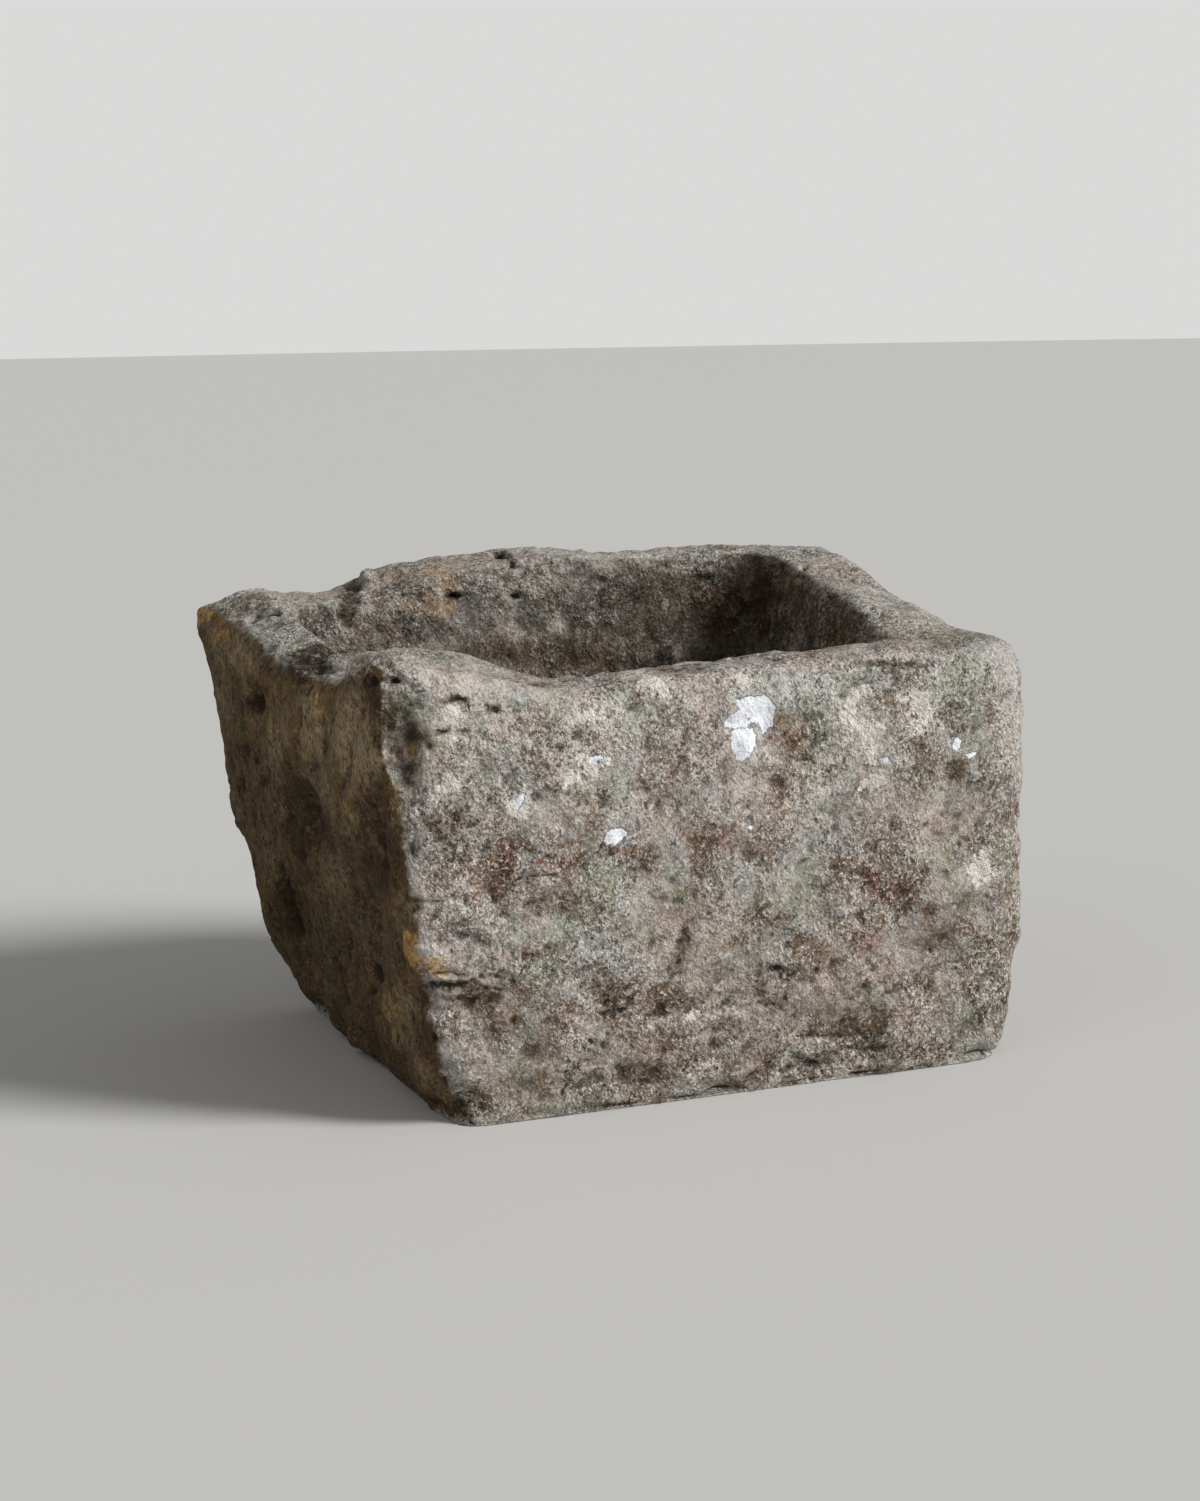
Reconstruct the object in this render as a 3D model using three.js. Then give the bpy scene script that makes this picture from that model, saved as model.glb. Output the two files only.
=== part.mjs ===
import * as THREE from "three";

// A squarish trough cut from one block of stone: four thick walls that lean out towards
// an uneven, worn rim, round a deep basin with a flat floor.
// +X is to the right, the front looks along -Y, +Z is up, and z = 0 is the underside.

// Driving sizes, in millimetres
const rimWidth = 472; // left to right over the rim
const rimDepth = 406; // front to back over the rim
const wallHeight = 290; // the level that the rim wanders about
const frontWall = 64;
const rightWall = 76;
const rightWallBack = 60; // the right wall is thinner towards the back
const backWall = 80;
const leftWall = 63;
const leftWallBack = 45; // and so is the left wall
const basinTaper = 26; // how much further in each wall stands at the basin's floor
const floorThickness = 95;
const floorFillet = 34; // rounding between the basin's walls and its floor
const outerShoulder = 17; // rounding of the rim's outer edge
const innerShoulder = 12; // rounding of the rim's inner edge
const footInset = 3.5; // how far the underside stays back from the walls
const footHeight = 9; // how high the worn foot edge reaches
const frontLeftRound = 26;
const frontRightRound = 38;
const backRightRound = 74;
const backLeftRound = 14;
const basinRound = 34;
const swellLength = 128; // broad lumps left by the dressing
const swellDepth = 2.6;
const pickLength = 52; // smaller hollows left by the pick
const pickDepth = 1.5;
const rootletRadius = 0.9;
const rootletGap = 0.3; // clearance between a rootlet and the stone that it clings to

// Where the corners of the walls stand at each level. Each row holds a share of the wall
// height, then x as a share of the rim width and y as a share of the rim depth for the
// front left, front right, back right and back left corner.
const cornerShares = [
  [0.0, -0.416, -0.5, 0.434, -0.498, 0.4, 0.377, -0.372, 0.382],
  [0.1, -0.442, -0.5, 0.453, -0.494, 0.412, 0.392, -0.4, 0.405],
  [0.3, -0.46, -0.5, 0.466, -0.488, 0.44, 0.424, -0.434, 0.43],
  [0.5, -0.478, -0.5, 0.472, -0.484, 0.465, 0.45, -0.465, 0.456],
  [0.7, -0.494, -0.5, 0.475, -0.484, 0.485, 0.475, -0.484, 0.48],
  [1.0, -0.502, -0.5, 0.47, -0.488, 0.5, 0.5, -0.508, 0.5],
];

// Height of the rim's outer edge round the vessel, as shares of the wall height. A place
// runs from 0 at the front left corner through 1 at the front right, 2 at the back right
// and 3 at the back left to 4, the front left corner again.
const outerRimShares = [
  [0.0, 1.004],
  [0.09, 0.972],
  [0.16, 0.94],
  [0.23, 0.915],
  [0.31, 0.91],
  [0.4, 0.918],
  [0.52, 0.932],
  [0.7, 0.938],
  [0.87, 0.934],
  [1.0, 0.948],
  [1.12, 0.958],
  [1.3, 0.956],
  [1.4, 0.98],
  [1.5, 1.02],
  [1.62, 1.07],
  [1.8, 1.088],
  [2.0, 1.08],
  [2.2, 1.086],
  [2.36, 1.086],
  [2.47, 1.124],
  [2.58, 1.106],
  [2.7, 1.084],
  [2.76, 1.05],
  [2.81, 1.028],
  [2.88, 1.032],
  [2.95, 1.03],
  [3.0, 1.01],
  [3.15, 0.982],
  [3.35, 0.955],
  [3.5, 0.93],
  [3.66, 0.915],
  [3.74, 0.925],
  [3.81, 0.99],
  [3.9, 1.01],
  [4.0, 1.004],
];

// The same for the rim's inner edge
const innerRimShares = [
  [0.0, 1.0],
  [0.05, 0.98],
  [0.12, 0.945],
  [0.2, 0.916],
  [0.28, 0.924],
  [0.4, 0.934],
  [0.55, 0.938],
  [0.71, 0.95],
  [0.84, 0.958],
  [0.96, 0.95],
  [1.04, 0.95],
  [1.13, 0.962],
  [1.23, 0.998],
  [1.31, 1.016],
  [1.4, 1.035],
  [1.54, 1.056],
  [1.69, 1.07],
  [1.84, 1.084],
  [2.0, 1.088],
  [2.2, 1.09],
  [2.4, 1.09],
  [2.6, 1.084],
  [2.74, 1.068],
  [2.82, 1.03],
  [3.0, 1.014],
  [3.1, 1.0],
  [3.26, 0.978],
  [3.4, 0.96],
  [3.55, 0.944],
  [3.7, 0.934],
  [3.82, 0.955],
  [3.92, 0.99],
  [4.0, 1.0],
];

// Hollows, and swellings where the depth is negative. Each row holds a place round the
// walls and a height, then the hollow's half width, half height and depth, the last four
// as shares of the wall height.
const hollowShares = [
  [0.02, 0.03, 0.13, 0.1, 0.03],
  [0.05, 0.27, 0.16, 0.07, 0.022],
  [0.03, 0.4, 0.08, 0.05, -0.014],
  [0.03, 0.84, 0.09, 0.16, 0.036],
  [0.2, 0.62, 0.24, 0.22, -0.012],
  [0.55, 0.3, 0.5, 0.22, -0.016],
  [0.4, 0.5, 0.16, 0.14, 0.012],
  [0.8, 0.24, 0.2, 0.14, 0.014],
  [0.75, 0.72, 0.3, 0.18, -0.012],
  [0.62, 0.02, 0.22, 0.06, 0.012],
  [1.4, 0.4, 0.4, 0.3, -0.02],
  [1.7, 0.75, 0.3, 0.22, 0.022],
  [1.25, 0.15, 0.24, 0.14, 0.02],
  [2.3, 0.55, 0.42, 0.3, -0.022],
  [2.6, 0.3, 0.26, 0.2, 0.026],
  [2.15, 0.2, 0.22, 0.16, 0.02],
  [2.85, 0.7, 0.24, 0.16, 0.018],
  [3.1, 0.2, 0.14, 0.1, 0.03],
  [3.27, 0.3, 0.16, 0.14, 0.036],
  [3.35, 0.8, 0.09, 0.1, 0.034],
  [3.5, 0.58, 0.17, 0.14, 0.04],
  [3.45, 0.12, 0.3, 0.1, 0.016],
  [3.74, 0.27, 0.08, 0.09, 0.022],
  [3.79, 0.42, 0.14, 0.18, 0.026],
  [3.91, 0.62, 0.1, 0.15, 0.026],
];

// Dry rootlets caught under the front edge. Each row holds a point's x as a share of the
// rim width, then its distance out from the stone and its height as shares of the wall
// height.
const rootletShares = {
  rootlet_left: [
    [-0.125, 0.0, 0.006],
    [-0.113, 0.003, 0.014],
    [-0.104, 0.006, 0.008],
    [-0.094, 0.002, 0.022],
  ],
  rootlet_curled: [
    [0.004, 0.0, 0.006],
    [0.018, 0.005, 0.03],
    [0.034, 0.004, 0.062],
    [0.05, 0.006, 0.04],
    [0.042, 0.009, 0.016],
    [0.026, 0.012, 0.01],
  ],
  rootlet_long: [
    [0.062, 0.0, 0.006],
    [0.078, 0.003, 0.018],
    [0.096, 0.006, 0.009],
    [0.118, 0.003, 0.02],
    [0.134, 0.002, 0.042],
  ],
  rootlet_right: [
    [0.212, 0.0, 0.006],
    [0.224, 0.004, 0.02],
    [0.24, 0.005, 0.012],
    [0.252, 0.001, 0.028],
  ],
};

// How finely the surface is drawn
const sideSteps = 24;
const cornerSteps = 6;
const wallRings = 17;
const basinRings = 7;
const filletRings = 3;
const rootletSteps = 20;
const rootletSides = 6;

// Which way the middle lies from each corner, starting at the front left
const inwardSigns = [
  [1, 1],
  [-1, 1],
  [-1, -1],
  [1, -1],
];
const corners = inwardSigns.length;
const stations = corners * (sideSteps + cornerSteps);

// A smooth curve through a table whose rows start with a place or a height
function splineOf(shares) {
  const places = shares.map((row) => row[0]);
  const values = shares.flatMap((row) => row.slice(1));
  const size = shares[0].length - 1;
  const first = places[0];
  const last = places[places.length - 1];
  const spline = new THREE.CubicInterpolant(places, values, size);
  return (place) => spline.evaluate(THREE.MathUtils.clamp(place, first, last));
}

const cornerAt = splineOf(cornerShares);
const outerRimAt = splineOf(outerRimShares);
const innerRimAt = splineOf(innerRimShares);

// The four corners of the walls' outside at height z
function wallCorners(z) {
  const shares = cornerAt(z / wallHeight);
  return Array.from(
    { length: corners },
    (unused, i) => new THREE.Vector2(shares[2 * i] * rimWidth, shares[2 * i + 1] * rimDepth),
  );
}

// The four corners of the basin, stepped in by a share of the taper
function basinCorners(taperShare) {
  const inX = [leftWall, rightWall, rightWallBack, leftWallBack];
  const inY = [frontWall, frontWall, backWall, backWall];
  const taper = basinTaper * taperShare;
  return wallCorners(wallHeight).map((corner, i) => {
    const [signX, signY] = inwardSigns[i];
    return corner.add(new THREE.Vector2(signX * (inX[i] + taper), signY * (inY[i] + taper)));
  });
}

// A point of a four-sided outline with rounded corners, and its place round the vessel
function outlinePoint(points, rounds, station) {
  const side = Math.floor(station / (sideSteps + cornerSteps));
  const step = station - side * (sideSteps + cornerSteps);
  const corner = points[side];
  const next = points[(side + 1) % corners];
  const before = points[(side + corners - 1) % corners];
  const lengthNext = corner.distanceTo(next);
  const lengthBefore = corner.distanceTo(before);
  const leave = Math.min(rounds[side] / lengthNext, 0.5);
  const enter = Math.min(rounds[side] / lengthBefore, 0.5);
  if (step < cornerSteps) {
    const t = step / cornerSteps;
    const from = corner.clone().lerp(before, enter);
    const to = corner.clone().lerp(next, leave);
    const point = new THREE.QuadraticBezierCurve(from, corner, to).getPoint(t);
    return { point, place: side + THREE.MathUtils.lerp(-enter, leave, t) };
  }
  const arrive = 1 - Math.min(rounds[(side + 1) % corners] / lengthNext, 0.5);
  const t = THREE.MathUtils.lerp(leave, arrive, (step - cornerSteps) / sideSteps);
  return { point: corner.clone().lerp(next, t), place: side + t };
}

const wallRounds = [frontLeftRound, frontRightRound, backRightRound, backLeftRound];
const basinRounds = Array.from({ length: corners }, () => basinRound);

// A station's place round the vessel, from 0 to 4
function placeOf(station) {
  const { place } = outlinePoint(wallCorners(wallHeight), wallRounds, station);
  return (place + corners) % corners;
}

// The outer face at a station and height
function wallPoint(station, z) {
  const { point } = outlinePoint(wallCorners(z), wallRounds, station);
  return new THREE.Vector3(point.x, point.y, z);
}

function basinPoint(station, taperShare, z) {
  const { point } = outlinePoint(basinCorners(taperShare), basinRounds, station);
  return new THREE.Vector3(point.x, point.y, z);
}

const outerTop = (station) => outerRimAt(placeOf(station))[0] * wallHeight;
const innerTop = (station) => innerRimAt(placeOf(station))[0] * wallHeight;

// The edge of the flat underside
function footPoint(station) {
  const edge = wallPoint(station, 0);
  return edge.multiplyScalar(1 - footInset / edge.length());
}

// The functions below each give one ring of points, a point for each station, from the foot
// up the wall, over the rim and down into the basin.
function wallRing(share) {
  return (station) => {
    const top = outerTop(station) - outerShoulder;
    return wallPoint(station, THREE.MathUtils.lerp(footHeight, top, share));
  };
}

// How far a rounded edge has dropped at a distance in from its face
function edgeDrop(distance, radius) {
  const left = Math.max(radius - distance, 0);
  return radius - Math.sqrt(radius * radius - left * left);
}

function rimRing(inward) {
  return (station) => {
    const outer = wallPoint(station, outerTop(station) - outerShoulder);
    const inner = basinPoint(station, 0, innerTop(station) - innerShoulder);
    const span = Math.hypot(inner.x - outer.x, inner.y - outer.y);
    const point = outer.clone().lerp(inner, inward);
    const crest = THREE.MathUtils.lerp(outerTop(station), innerTop(station), inward);
    const drop =
      edgeDrop(inward * span, outerShoulder) + edgeDrop((1 - inward) * span, innerShoulder);
    return point.setZ(crest - drop);
  };
}

function basinRing(share) {
  return (station) => {
    const top = innerTop(station) - innerShoulder;
    const bottom = floorThickness + floorFillet;
    return basinPoint(station, share, THREE.MathUtils.lerp(top, bottom, share));
  };
}

function filletRing(share) {
  return (station) => {
    const angle = (share * Math.PI) / 2;
    const inward = 1 + (floorFillet / basinTaper) * (1 - Math.cos(angle));
    return basinPoint(station, inward, floorThickness + floorFillet * (1 - Math.sin(angle)));
  };
}

// Places of the rings across the rim, closer together at its two rounded edges
const rimRingShares = [0.07, 0.2, 0.38, 0.6, 0.8, 0.93];

function countedShares(count) {
  return Array.from({ length: count }, (unused, i) => i / (count - 1));
}

function allRings() {
  return [
    footPoint,
    ...countedShares(wallRings).map(wallRing),
    ...rimRingShares.map(rimRing),
    ...countedShares(basinRings).map(basinRing),
    ...countedShares(filletRings + 1)
      .slice(1)
      .map(filletRing),
  ];
}

// A smooth mix of waves in all directions, between about -1 and 1
function waves(point, length) {
  const { x, y, z } = point.clone().multiplyScalar((2 * Math.PI) / length);
  const first = Math.sin(x + 1.7 * Math.sin(0.63 * y + 0.4) + 0.5);
  const second = Math.sin(0.92 * y - 1.4 * Math.sin(0.71 * z + 1.1) + 2.1);
  const third = Math.sin(1.08 * z + 1.5 * Math.sin(0.58 * x + 0.9) + 0.46 * y);
  return (first + second + third) / 3;
}

// The wall's face at a place round the vessel and a height, without its roughness
function wallPlace(place, z) {
  const points = wallCorners(z);
  const side = Math.floor(place) % corners;
  const point = points[side].clone().lerp(points[(side + 1) % corners], place - Math.floor(place));
  return new THREE.Vector3(point.x, point.y, z);
}

const hollows = hollowShares.map(([place, height, halfWidth, halfHeight, depth]) => ({
  centre: wallPlace(place, height * wallHeight),
  halfWidth: halfWidth * wallHeight,
  halfHeight: halfHeight * wallHeight,
  depth: depth * wallHeight,
}));

function hollowDepth(point) {
  return hollows.reduce((sum, { centre, halfWidth, halfHeight, depth }) => {
    const across = Math.hypot(point.x - centre.x, point.y - centre.y) / halfWidth;
    const up = (point.z - centre.z) / halfHeight;
    const near = Math.max(1 - across * across - up * up, 0);
    return sum + depth * near * near;
  }, 0);
}

// How far the worked surface stands out from the plain one
function roughness(point, outside) {
  const fromFoot = THREE.MathUtils.smoothstep(point.z, 0, footHeight);
  const fromFloor = THREE.MathUtils.smoothstep(point.z, floorThickness, floorThickness + floorFillet);
  const broad = swellDepth * waves(point, swellLength) + pickDepth * waves(point, pickLength);
  return outside ? fromFoot * (broad - hollowDepth(point)) : fromFloor * broad;
}

// Triangles between the rings, and the two flats that close the solid
function ringIndex() {
  const rings = allRings().length;
  const index = [];
  for (let ring = 0; ring < rings - 1; ring += 1) {
    for (let station = 0; station < stations; station += 1) {
      const next = (station + 1) % stations;
      const a = ring * stations + station;
      const b = ring * stations + next;
      index.push(a, b, b + stations, a, b + stations, a + stations);
    }
  }
  const underside = rings * stations;
  const floor = underside + 1;
  const last = (rings - 1) * stations;
  for (let station = 0; station < stations; station += 1) {
    const next = (station + 1) % stations;
    index.push(underside, next, station);
    index.push(floor, last + station, last + next);
  }
  return index;
}

function plainPoints() {
  const points = allRings().flatMap((ring) =>
    Array.from({ length: stations }, (unused, station) => ring(station)),
  );
  points.push(new THREE.Vector3(0, 0, 0), new THREE.Vector3(0, 0, floorThickness));
  return points;
}

function shellOf(points) {
  const geometry = new THREE.BufferGeometry().setFromPoints(points);
  geometry.setIndex(ringIndex());
  geometry.computeVertexNormals();
  return geometry;
}

// The plain shell, pushed in and out along its normals and centred over the origin
function stoneGeometry() {
  const points = plainPoints();
  const normals = shellOf(points).getAttribute("normal");
  const outsidePoints = (1 + wallRings) * stations;
  points.forEach((point, i) => {
    const normal = new THREE.Vector3().fromBufferAttribute(normals, i);
    point.addScaledVector(normal, roughness(point, i < outsidePoints));
  });
  const middle = new THREE.Box3().setFromPoints(points).getCenter(new THREE.Vector3());
  return shellOf(points).translate(-middle.x, -middle.y, 0);
}

// Where the front of the stone lies at x and z
function frontPoint(stone, x, z) {
  const start = new THREE.Vector3(x, -2 * rimDepth, z);
  const ray = new THREE.Raycaster(start, new THREE.Vector3(0, 1, 0));
  return ray.intersectObject(stone)[0].point;
}

// A thin bent root that follows the stone just clear of its surface
function rootletGeometry(stone, shares) {
  const bend = new THREE.CatmullRomCurve3(shares.map((row) => new THREE.Vector3(...row)));
  const route = bend.getPoints(rootletSteps).map((share) => {
    const z = Math.max(share.z * wallHeight, rootletRadius + rootletGap);
    const point = frontPoint(stone, share.x * rimWidth, z);
    const out = rootletRadius + rootletGap + Math.max(share.y, 0) * wallHeight;
    return point.setY(point.y - out);
  });
  const section = new THREE.Shape(
    Array.from({ length: rootletSides }, (unused, i) => {
      const angle = (2 * Math.PI * i) / rootletSides;
      return new THREE.Vector2(Math.cos(angle), Math.sin(angle)).multiplyScalar(rootletRadius);
    }),
  );
  return new THREE.ExtrudeGeometry(section, {
    extrudePath: new THREE.CatmullRomCurve3(route),
    steps: rootletSteps,
  });
}

const stoneMaterial = new THREE.MeshStandardMaterial({
  color: 0x8d8475,
  roughness: 0.95,
  metalness: 0,
});

const rootletMaterial = new THREE.MeshStandardMaterial({
  color: 0x6b5239,
  roughness: 0.9,
  metalness: 0,
});

const vessel = new THREE.Group();
const stone = new THREE.Mesh(stoneGeometry(), stoneMaterial);
stone.name = "stone_trough";
stone.updateMatrixWorld();
vessel.add(stone);

for (const [name, shares] of Object.entries(rootletShares)) {
  const rootlet = new THREE.Mesh(rootletGeometry(stone, shares), rootletMaterial);
  rootlet.name = name;
  vessel.add(rootlet);
}

export default vessel;
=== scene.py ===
import math
import random
from types import SimpleNamespace

import bmesh
import bpy
from mathutils import Euler, Matrix, Vector, noise
from mathutils.bvhtree import BVHTree
from mathutils.kdtree import KDTree


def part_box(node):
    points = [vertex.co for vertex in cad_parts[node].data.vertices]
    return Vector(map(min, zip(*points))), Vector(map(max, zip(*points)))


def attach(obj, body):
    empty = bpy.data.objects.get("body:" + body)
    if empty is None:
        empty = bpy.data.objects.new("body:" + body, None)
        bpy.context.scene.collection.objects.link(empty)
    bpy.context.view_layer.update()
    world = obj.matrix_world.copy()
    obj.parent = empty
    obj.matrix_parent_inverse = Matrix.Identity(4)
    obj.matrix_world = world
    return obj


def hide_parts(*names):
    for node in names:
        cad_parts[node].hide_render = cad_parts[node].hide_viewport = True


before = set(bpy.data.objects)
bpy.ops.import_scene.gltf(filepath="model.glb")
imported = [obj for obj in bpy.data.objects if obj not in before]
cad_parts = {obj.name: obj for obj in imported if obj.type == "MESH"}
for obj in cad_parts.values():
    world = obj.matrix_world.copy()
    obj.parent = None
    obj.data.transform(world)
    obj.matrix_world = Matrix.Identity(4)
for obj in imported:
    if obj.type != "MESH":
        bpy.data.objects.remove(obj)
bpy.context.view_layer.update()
print("frame loaded")
noise.seed_set(3)  # or noise_vector would follow the clock and differ in every run


# The camera stands where the photograph was taken from. Marks on the stone are placed by
# their pixel in that photograph and dropped onto the stone along the camera's ray.
camera = {
    "place": Vector((-0.8015, -1.8684, 0.5)),
    "heading": Vector((0.392, 0.92, 0)),
    "pitch": 8.54,  # degrees down
    "roll": 1.01,  # degrees
    "lens": 71.95,  # millimetres, as is the sensor
    "sensor": 36,
    "imageWidth": 1200,
    "imageHeight": 1501,
}


def cameraAxes():
    pitch = math.radians(camera["pitch"])
    roll = math.radians(camera["roll"])
    level = camera["heading"].normalized()
    forward = level * math.cos(pitch) - Vector((0, 0, 1)) * math.sin(pitch)
    right = forward.cross(Vector((0, 0, 1))).normalized()
    down = forward.cross(right)
    return (
        forward,
        right * math.cos(roll) + down * math.sin(roll),
        down * math.cos(roll) - right * math.sin(roll),
    )


forward, right, down = cameraAxes()
pixelsPerUnit = camera["lens"] / camera["sensor"] * camera["imageHeight"]
imageMiddle = (camera["imageWidth"] / 2, camera["imageHeight"] / 2)


def pixelOf(place):
    ray = place - camera["place"]
    scale = pixelsPerUnit / ray.dot(forward)
    return imageMiddle[0] + ray.dot(right) * scale, imageMiddle[1] + ray.dot(down) * scale


# The first place on a surface that a pixel of the photograph shows
def placeAt(surface, u, v):
    across = (u - imageMiddle[0]) / pixelsPerUnit
    below = (v - imageMiddle[1]) / pixelsPerUnit
    ray = (forward + right * across + down * below).normalized()
    return surface.ray_cast(camera["place"], ray)[0]


def addObject(name, data):
    made = bpy.data.objects.new(name, data)
    bpy.context.scene.collection.objects.link(made)
    return made


def addCamera():
    lens = bpy.data.cameras.new("camera")
    lens.lens = camera["lens"]
    lens.sensor_width = camera["sensor"]
    holder = addObject("camera", lens)
    turn = Matrix((right, -down, -forward)).transposed().to_4x4()
    holder.matrix_world = Matrix.Translation(camera["place"]) @ turn
    bpy.context.scene.camera = holder


addCamera()
print("camera placed")


def smoothStep(low, high, value):
    t = min(max((value - low) / (high - low), 0), 1)
    return t * t * (3 - 2 * t)


# Turns the live modifiers into plain mesh
def applyModifiers(piece):
    shown = piece.evaluated_get(bpy.context.evaluated_depsgraph_get())
    mesh = bpy.data.meshes.new_from_object(shown)
    piece.modifiers.clear()
    old = piece.data
    piece.data = mesh
    bpy.data.meshes.remove(old)


# The stone block, from the plain CAD solid to a fine mesh that can be carved
block = {
    "weld": 0.00001,
    "voxel": 0.0021,
    "quickVoxel": 0.004,
    "smoothing": 0.5,
    "rounding": 9,  # smoothing passes that take the solid's flat facets away
    "mostTriangles": 196000,
}


def plainBlock():
    shell = bmesh.new()
    shell.from_mesh(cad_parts["stone_trough"].data)
    bmesh.ops.remove_doubles(shell, verts=shell.verts, dist=block["weld"])
    mesh = bpy.data.meshes.new("stone")
    shell.to_mesh(mesh)
    shell.free()
    piece = addObject("worn_stone", mesh)
    remesh = piece.modifiers.new("remesh", "REMESH")
    remesh.mode = "VOXEL"
    remesh.voxel_size = block["voxel"]
    smooth = piece.modifiers.new("smooth", "SMOOTH")
    smooth.factor = block["smoothing"]
    smooth.iterations = block["rounding"]
    applyModifiers(piece)
    return piece


stone = plainBlock()
print("block of", len(stone.data.vertices), "points")


# Where a point starts to belong to a face, and where it fully does: by how much its normal
# looks that way, and by its height in metres
faceEdges = {
    "outside": (-0.25, 0.25),
    "wall": (0.4, 0.8),
    "leftWall": (0.3, 0.8),
    "rim": (0.4, 0.85),
    "level": (0.5, 0.85),
    "rimHeight": (0.2, 0.24),
    "basinHeight": (0.09, 0.12),
    "floorHeight": (0.14, 0.18),
    "underHeight": (0.004, 0.02),
}


# How much a point belongs to each face of the trough, each from 0 to 1
def facesAt(place, normal):
    def share(edge, value):
        return smoothStep(*faceEdges[edge], value)

    flat = Vector((place.x, place.y, 0)).normalized()
    outside = share("outside", normal.x * flat.x + normal.y * flat.y)
    level = share("level", normal.z)
    return {
        "front": outside * share("wall", -normal.y),
        "left": outside * share("leftWall", -normal.x),
        "right": outside * share("wall", normal.x),
        "back": outside * share("wall", normal.y),
        "top": share("rim", normal.z) * share("rimHeight", place.z),
        "basin": (1 - outside) * share("basinHeight", place.z) * (1 - level),
        "floor": level * (1 - share("floorHeight", place.z)),
        "under": share("level", -normal.z) * (1 - share("underHeight", place.z)),
    }


# The bend that noise gives a pattern at a place; each wave has its fineness and its reach
def bending(place, *waves):
    return sum((noise.noise_vector(place * fineness) * reach for fineness, reach in waves), Vector())


# Wear that comes in patches: patches per metre, a shift that makes them its own, and the
# noise values where they start and where they are whole
wearPatches = {
    "flakes": (13, (4, 1, 6), -0.3, 0.3),
    "bedding": (16, (3, 7, 1), -0.2, 0.3),
    "foot": (26, (5, 0, 9), -0.15, 0.5),
}


def patchiness(place, name):
    perMetre, shift, low, high = wearPatches[name]
    return smoothStep(low, high, noise.noise(place * perMetre + Vector(shift)))


# Relief that covers the whole stone. A size is how far apart the lumps stand and a depth
# how far they reach in and out, in metres; the other values are shares for each face.
relief = {
    "swells": {"size": 0.075, "depth": 0.002, "left": 1.3, "top": 0.6, "basin": 1.2, "floor": 0.8},
    "lumps": {"size": 0.034, "depth": 0.0022, "left": 1.7, "top": 0.6, "basin": 1.1, "floor": 0.8},
    "knobs": {"size": 0.016, "depth": 0.0013, "left": 1.4, "top": 0.8, "basin": 1.1, "floor": 1.1},
    "grain": {"size": 0.0075, "depth": 0.0008, "left": 1.2, "top": 1.1, "basin": 1.1, "floor": 1.1},
}
lumpNoise = (0.9, 2.1, 2)  # how fast finer lumps fade, how much finer they get, and how often
leftStretch = 0.6  # the left face's lumps are drawn out down the wall
patternTurn = Euler((0.6, 0.4, 0.8))  # keeps the noise's own grid from lining up with the faces


def waviness(place, faces):
    drawnOut = Vector((place.x, place.y, place.z * leftStretch))
    drawnOut.rotate(patternTurn)
    place = place.copy()
    place.rotate(patternTurn)
    left = faces["left"]
    total = 0
    for layer in relief.values():
        share = 1 + sum((layer[face] - 1) * faces[face] for face in ("left", "top", "basin", "floor"))
        wave = noise.fractal(place / layer["size"], *lumpNoise) if left < 1 else 0
        if left > 0:
            wave = wave * (1 - left) + left * noise.fractal(drawnOut / layer["size"], *lumpNoise)
        total += layer["depth"] * share * wave
    return total


# Facets that each lean their own way, where the stone has broken in flakes
flakes = {
    "sizes": {
        "broad": {"size": 0.036, "depth": 0.003, "flatness": 1.5},
        "small": {"size": 0.014, "depth": 0.0014, "flatness": 1.3},
    },
    "share": 0.35,
    "extraShares": {"low": 0.35, "top": 0.1, "left": -0.1},
    "heights": (0.06, 0.2),  # there are more below the first and no extra above the second
    "bends": ((1.2, 0.4), (3.5, 0.12)),
    "step": 0.5,
    "leanSeed": 37.3,
    "stepSeed": 53.1,
}


def flakeDepth(place, faces):
    extra = flakes["extraShares"]
    low = 1 - smoothStep(*flakes["heights"], place.z)
    share = flakes["share"] + extra["low"] * low + extra["top"] * faces["top"] + extra["left"] * faces["left"]
    total = 0
    for flake in flakes["sizes"].values():
        spot = Vector((place.x, place.y, place.z * flake["flatness"])) / flake["size"]
        spot += bending(spot, *flakes["bends"])
        middle = noise.voronoi(spot)[1][0]
        lean = noise.cell_vector(middle * flakes["leanSeed"]) * 2 - Vector((1, 1, 1))
        step = flakes["step"] * noise.cell(middle * flakes["stepSeed"])
        total += flake["depth"] * (step + lean.dot(spot - middle))
    return total * share * patchiness(place, "flakes")


# The left face has long washed runs that lean as they go down
runs = {
    "across": 0.034,
    "along": 0.1,
    "lean": -0.15,
    "depth": 0.0016,
    "middle": 0.45,
    "fineness": 2.1,
    "fineShare": 0.5,
}


def runDepth(place, faces):
    if faces["left"] == 0:
        return 0
    across = (place.y + runs["lean"] * place.z) / runs["across"]
    spot = Vector((place.x / runs["across"], across, place.z / runs["along"]))
    ridge = abs(noise.noise(spot)) + runs["fineShare"] * abs(noise.noise(spot * runs["fineness"]))
    return faces["left"] * runs["depth"] * (runs["middle"] - ridge)


# Natural holes, a few of the cells of a random pattern
holes = {
    "sizes": {
        "small": {"size": 0.012, "kept": 0.14, "radius": 0.36, "depth": 0.0013},
        "large": {"size": 0.04, "kept": 0.05, "radius": 0.17, "depth": 0.003},
    },
    "flatness": 1.6,
    "bend": (2.7, 0.28),
    "leastShare": 0.4,  # of the radius, for the smallest of a kind
    "floorShare": 0.4,  # of the radius, up to which a hole keeps its depth
    "seed": 91.7,
}


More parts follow.
